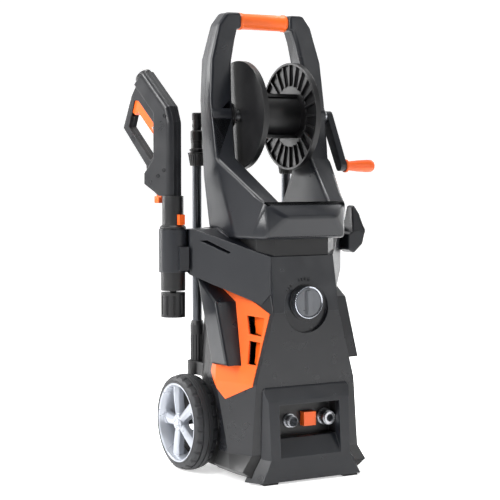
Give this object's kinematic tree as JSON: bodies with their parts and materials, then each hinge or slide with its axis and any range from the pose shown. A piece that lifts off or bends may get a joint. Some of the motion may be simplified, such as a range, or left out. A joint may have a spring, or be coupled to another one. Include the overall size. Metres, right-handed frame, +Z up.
{
  "type": "pressure washer",
  "caption": "Upright wheeled electric pressure washer with hose reel, carry handle, holstered spray gun and lances",
  "frame": {"origin": "centre of the bounding box's bottom face, on the floor", "axes": "+Z up, -Y towards the front with the switch, +X towards the crank side"},
  "size_m": [0.4508, 0.312, 0.8704],
  "materials": {
    "grey_plastic": "fine moulded texture, satin",
    "black_plastic": "matt moulded",
    "orange_plastic": "satin gloss",
    "orange_grip": "soft satin",
    "tyre": "matt with fine grooves",
    "silver_paint": "satin silver",
    "chrome": "knurled bright",
    "silver_plastic": "metallic grey",
    "steel": "brushed",
    "brass": "machined",
    "cast_aluminium": "cast",
    "rubber": "matt"
  },
  "bodies": {
    "chassis": {"base_tray": "black_plastic", "front_cover": "grey_plastic", "rear_cover": "black_plastic", "shoulder_cover": "grey_plastic", "neck_cover": "black_plastic", "frame_front": "grey_plastic", "frame_back": "grey_plastic", "handle_tube": "steel", "handle_grip": "orange_grip", "recess_surround": "grey_plastic", "connector_plate": "black_plastic", "inlet_connector": "steel", "outlet_connector": "steel", "vent_panel_left": "orange_plastic", "vent_panel_right": "orange_plastic", "side_wing_left": "grey_plastic", "side_wing_right": "grey_plastic", "front_feet": "rubber", "gun_holster": "grey_plastic", "cord_hook": "grey_plastic", "lance_holders": "black_plastic", "switch_body": "black_plastic", "motor_housing": "steel", "pump_head": "cast_aluminium", "cable_gland": "black_plastic", "cover_screws": "steel", "wheel_axle": "steel", "reel_bearings": "black_plastic"},
    "switch": {"switch_knob": "silver_plastic", "switch_ring": "chrome", "switch_skirt": "black_plastic"},
    "outlet_button": {"outlet_release_button": "orange_plastic"},
    "wheel_left": {"tyre_left": "tyre", "rim_left": "silver_paint"},
    "wheel_right": {"tyre_right": "tyre", "rim_right": "silver_paint"},
    "reel": {"reel_drum": "black_plastic", "reel_flange_left": "black_plastic", "reel_flange_right": "black_plastic", "reel_axle": "steel", "crank_arm": "grey_plastic"},
    "crank_grip": {"crank_knob": "orange_plastic"},
    "gun": {"gun_shell_left": "grey_plastic", "gun_shell_right": "grey_plastic", "gun_barrel": "black_plastic", "gun_valve": "brass", "gun_trigger_pin": "steel", "gun_hose_inlet": "black_plastic"},
    "gun_trigger_lever": {"gun_trigger": "orange_plastic"},
    "gun_lock_lever": {"gun_lock": "orange_plastic"},
    "gun_button": {"gun_release_button": "orange_plastic"},
    "gun_bayonet_nut": {"gun_nut": "black_plastic"},
    "lance_left": {"lance_left_tube": "steel", "lance_left_collar": "black_plastic", "lance_left_nozzle": "black_plastic"},
    "lance_right": {"lance_right_tube": "steel", "lance_right_collar": "black_plastic", "lance_right_nozzle": "black_plastic"},
    "rotor": {"motor_rotor": "steel", "motor_fan": "black_plastic"}
  },
  "joints": [
    {"name": "switch_turn", "type": "hinge", "parent": "chassis", "child": "switch", "pos_m": [0.0124, -0.132, 0.3285], "axis": [0, 1, 0], "range_deg": [0, 60]},
    {"name": "outlet_button_press", "type": "slide", "parent": "chassis", "child": "outlet_button", "axis": [0, 1, 0], "range_m": [0, 0.004], "stiffness_N_per_m": 400, "springref_m": -0.002},
    {"name": "wheel_left_spin", "type": "hinge", "parent": "chassis", "child": "wheel_left", "pos_m": [-0.1416, 0.05, 0.0917], "axis": [1, 0, 0], "continuous": true},
    {"name": "wheel_right_spin", "type": "hinge", "parent": "chassis", "child": "wheel_right", "pos_m": [0.1664, 0.05, 0.0917], "axis": [1, 0, 0], "continuous": true},
    {"name": "reel_spin", "type": "hinge", "parent": "chassis", "child": "reel", "pos_m": [0.0124, 0.018, 0.6745], "axis": [1, 0, 0], "continuous": true},
    {"name": "crank_knob_spin", "type": "hinge", "parent": "reel", "child": "crank_grip", "pos_m": [0.1824, -0.03434, 0.57889], "axis": [1, 0, 0], "continuous": true},
    {"name": "gun_lift", "type": "slide", "parent": "chassis", "child": "gun", "axis": [0, 0, 1], "range_m": [0, 0.17]},
    {"name": "trigger_pull", "type": "hinge", "parent": "gun", "child": "gun_trigger_lever", "pos_m": [-0.18934, 0.07114, 0.65], "axis": [0.9511, 0.309, 0], "range_deg": [0, 9], "stiffness_Nm_per_rad": 1.5, "springref_deg": -5.73},
    {"name": "gun_lock_turn", "type": "hinge", "parent": "gun", "child": "gun_lock_lever", "pos_m": [-0.18656, 0.06258, 0.533], "axis": [0.9511, 0.309, 0], "range_deg": [0, 25]},
    {"name": "gun_button_press", "type": "slide", "parent": "gun", "child": "gun_button", "axis": [-0.309, 0.9511, 0], "range_m": [0, 0.003], "stiffness_N_per_m": 300, "springref_m": -0.002},
    {"name": "gun_nut_twist", "type": "hinge", "parent": "gun", "child": "gun_bayonet_nut", "pos_m": [-0.1776, 0.035, 0.32], "axis": [0, 0, 1], "range_deg": [0, 60]},
    {"name": "lance_left_lift", "type": "slide", "parent": "chassis", "child": "lance_left", "axis": [0, 0, 1], "range_m": [0, 0.12]},
    {"name": "lance_right_lift", "type": "slide", "parent": "chassis", "child": "lance_right", "axis": [0, 0, 1], "range_m": [0, 0.12]},
    {"name": "rotor_spin", "type": "hinge", "parent": "chassis", "child": "rotor", "pos_m": [0.0124, -0.04, 0.24], "axis": [0, 0, 1], "continuous": true}
  ]
}
